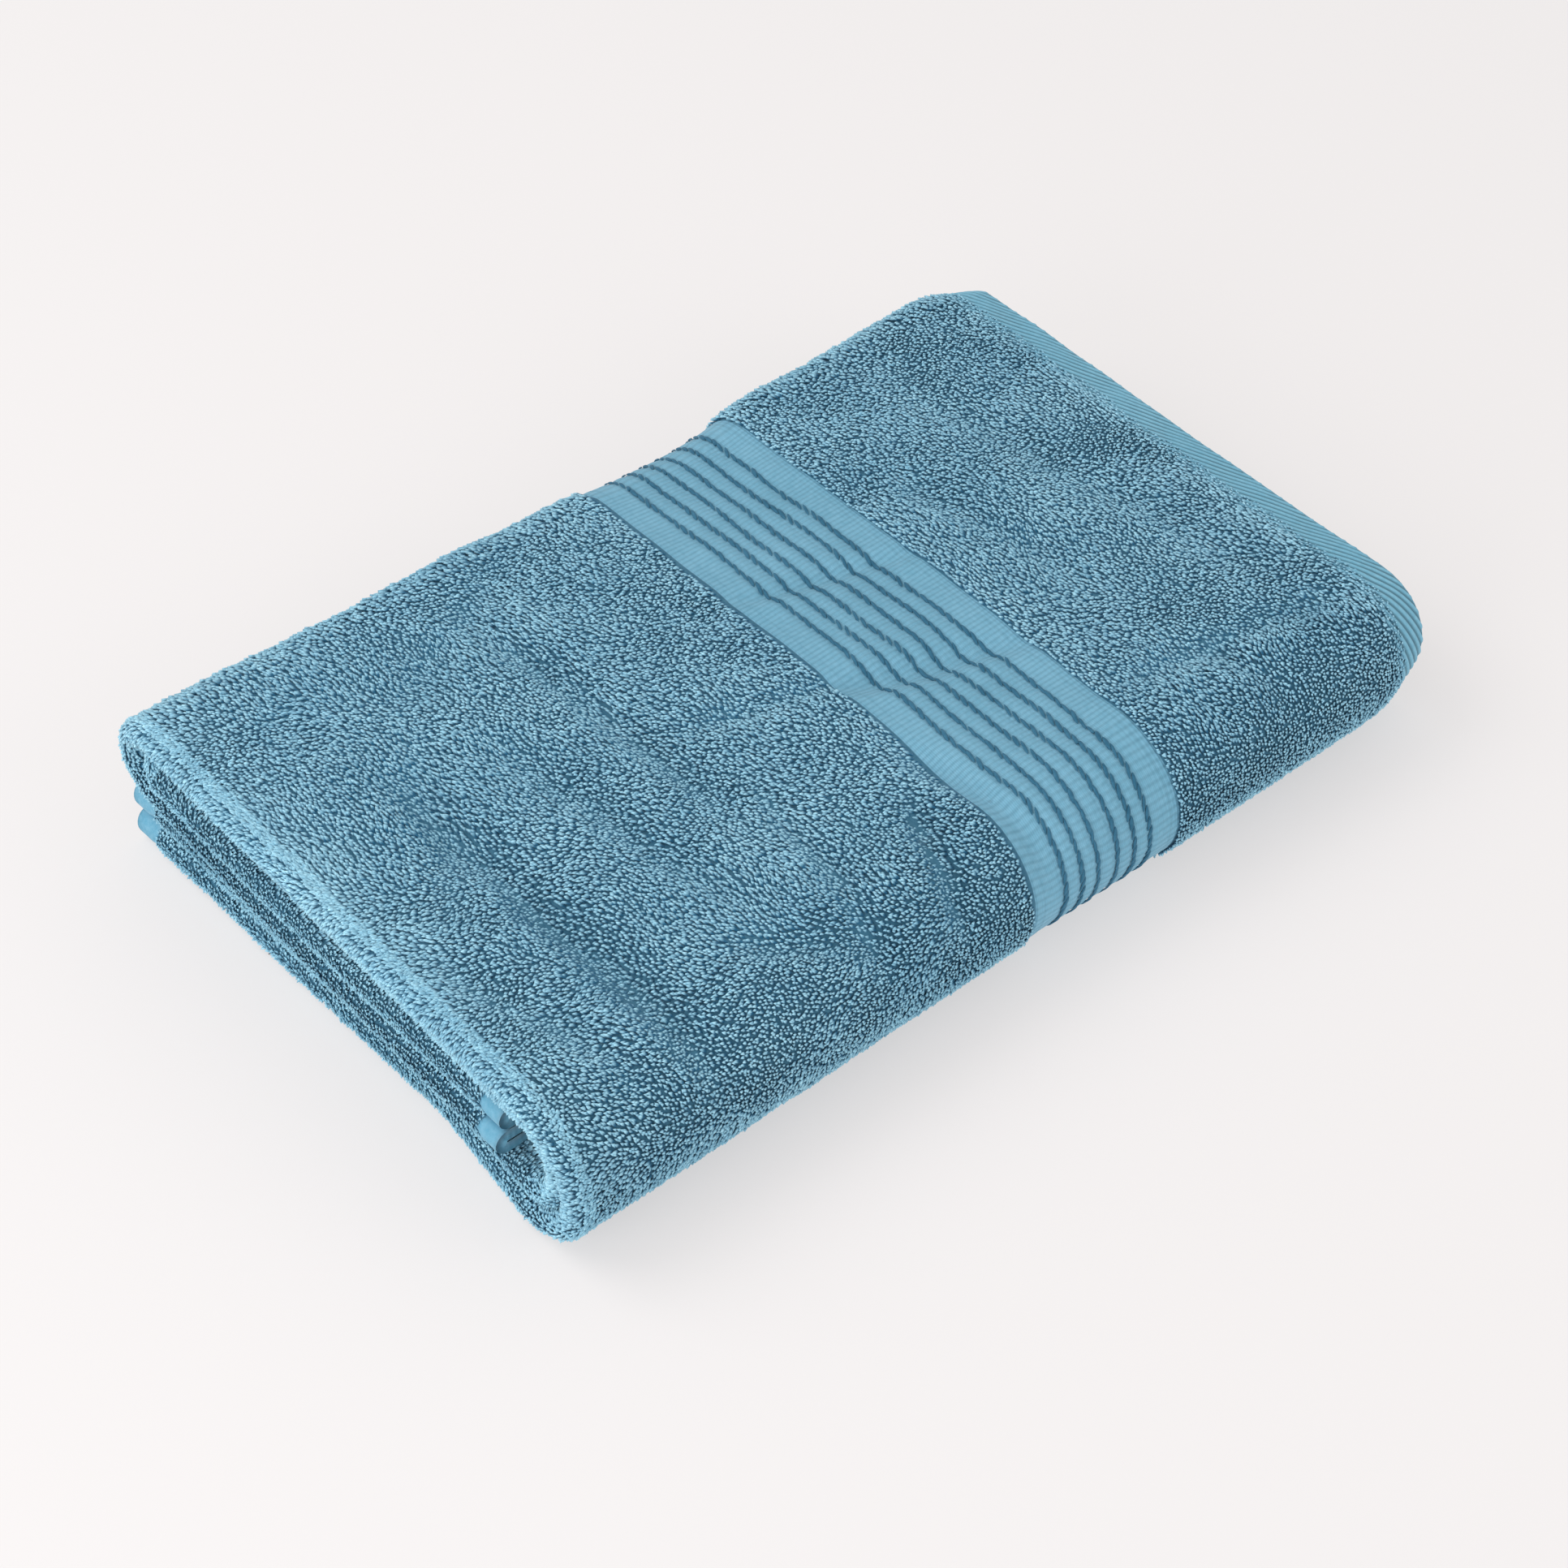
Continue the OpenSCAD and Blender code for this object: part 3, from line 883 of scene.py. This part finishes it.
def trim(stretch, part, border, hem, level):
    """The border, its lines and the end hem over one stretch, near one end of the towel"""
    v0, v1 = SPAN[stretch]
    v0 += SIDE_HEM if stretch == "middle" else 0
    v1 -= SIDE_HEM if stretch == "bottom" else 0
    plain_sight = part == "outer" and stretch in ("top", "front", "back")
    step = 0.5 * MM if plain_sight else 1.2 * MM
    stretched = {"front": (R_FRONT + level * PITCH) / (R_FRONT + 2 * PITCH), "back": 1.9}
    band = shell(
        f"{stretch}_{part}_border", spaced(*border, step), spaced(v0, v1, step), border_height
    )
    lines = line_yarns(f"{stretch}_{part}_lines", border, v0, v1, stretched.get(stretch, 1.0))
    ribbed = shell(
        f"{stretch}_{part}_end_hem", spaced(*hem, step), spaced(v0, v1, step), hem_height
    )
    for piece, material, slot, node in (
        (band, BORDER, "border", "border"),
        (lines, LINES, "border_lines", "lines"),
        (ribbed, HEM, "hem", "end_hem"),
    ):
        dress(piece, material)
        attach(piece, stretch)
        nodes = [f"{NODE_PREFIX[stretch]}_{part}_{node}"]
        if part == "outer" and stretch in ("top", "back", "middle"):
            nodes.append(f"{NODE_PREFIX[stretch]}_inner_{node}")
        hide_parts(*nodes)


NODE_PREFIX = {"top": "top_panel", "back": "back_fold", "middle": "middle_flap",
               "front": "front_fold", "bottom": "bottom_flap"}
for stretch in NODE_PREFIX:
    trim(stretch, "outer", S_BORDER, (0.6 * MM, END_HEM + 4 * MM), 4)
for stretch in ("front", "bottom"):
    trim(stretch, "inner", S_INNER_BORDER, (S_END - END_HEM, S_END - 0.6 * MM), 0)

# ---------------------------------------------------------------- hiding the imported parts that the pieces stand in for

for stretch, prefix in NODE_PREFIX.items():
    for part in ("pile", "outer_end_pile", "inner_end_pile"):
        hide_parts(f"{prefix}_{part}")
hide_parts("middle_flap_side_hem")
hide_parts("bottom_flap_side_hem")

# ---------------------------------------------------------------- floor, light and camera


def plain(name, colour, rough, glow):
    """A plain matt surface that gives off some light of its own, as a lit table does"""
    material = bpy.data.materials.new(name)
    material.use_nodes = True
    shader = material.node_tree.nodes["Principled BSDF"]
    shader.inputs["Base Color"].default_value = (*colour, 1)
    shader.inputs["Roughness"].default_value = rough
    shader.inputs["Emission Color"].default_value = (*glow, 1)
    shader.inputs["Emission Strength"].default_value = 1.0
    return material


FLOOR_HALF = 4.0
floor_mesh = bpy.data.meshes.new("floor")
floor_corners = [(-1, -1), (1, -1), (1, 1), (-1, 1)]
floor_mesh.from_pydata(
    [(FLOOR_HALF * a, FLOOR_HALF * b, 0) for a, b in floor_corners], [], [(0, 1, 2, 3)]
)
floor = bpy.data.objects.new("floor", floor_mesh)
floor.location.z = -0.3 * MM
dress(floor, plain("floor_paper", (0.32, 0.31, 0.31), 0.9, (0.515, 0.502, 0.5)))
bpy.context.scene.collection.objects.link(floor)


def area_light(name, place_at, size, power, colour):
    """A square soft light that faces the towel"""
    data = bpy.data.lights.new(name, "AREA")
    data.size = size
    data.energy = power
    data.color = colour
    lamp = bpy.data.objects.new(name, data)
    lamp.location = place_at
    lamp.rotation_mode = "QUATERNION"
    lamp.rotation_quaternion = (-Vector(place_at)).to_track_quat("-Z", "Y")
    bpy.context.scene.collection.objects.link(lamp)


area_light("key", (-0.9, 0.8, 1.5), 1.3, 15, (1.0, 0.99, 0.98))
area_light("left", (-1.3, -0.3, 0.45), 0.9, 8, (1.0, 1.0, 1.0))
area_light("front", (0.5, -1.5, 0.6), 1.2, 7, (1.0, 1.0, 1.0))

world = bpy.data.worlds.new("studio")
world.use_nodes = True
world.node_tree.nodes["Background"].inputs["Color"].default_value = (1.0, 0.985, 0.98, 1)
world.node_tree.nodes["Background"].inputs["Strength"].default_value = 0.74
bpy.context.scene.world = world
bpy.context.scene.view_settings.view_transform = "Standard"

AZIMUTH = math.radians(-40.3)
ELEVATION = math.radians(45.1)
DISTANCE = 1.107
LENS = 79.6
camera_data = bpy.data.cameras.new("camera")
camera_data.lens = LENS
camera_data.clip_end = 50
camera = bpy.data.objects.new("camera", camera_data)
away = Vector(
    (
        math.sin(AZIMUTH) * math.cos(ELEVATION),
        -math.cos(AZIMUTH) * math.cos(ELEVATION),
        math.sin(ELEVATION),
    )
)
target = Vector((-0.0427, -0.0472, high[2]))
camera.location = target + away * DISTANCE
camera.rotation_mode = "QUATERNION"
camera.rotation_quaternion = (-away).to_track_quat("-Z", "Y")
bpy.context.scene.collection.objects.link(camera)
bpy.context.scene.camera = camera
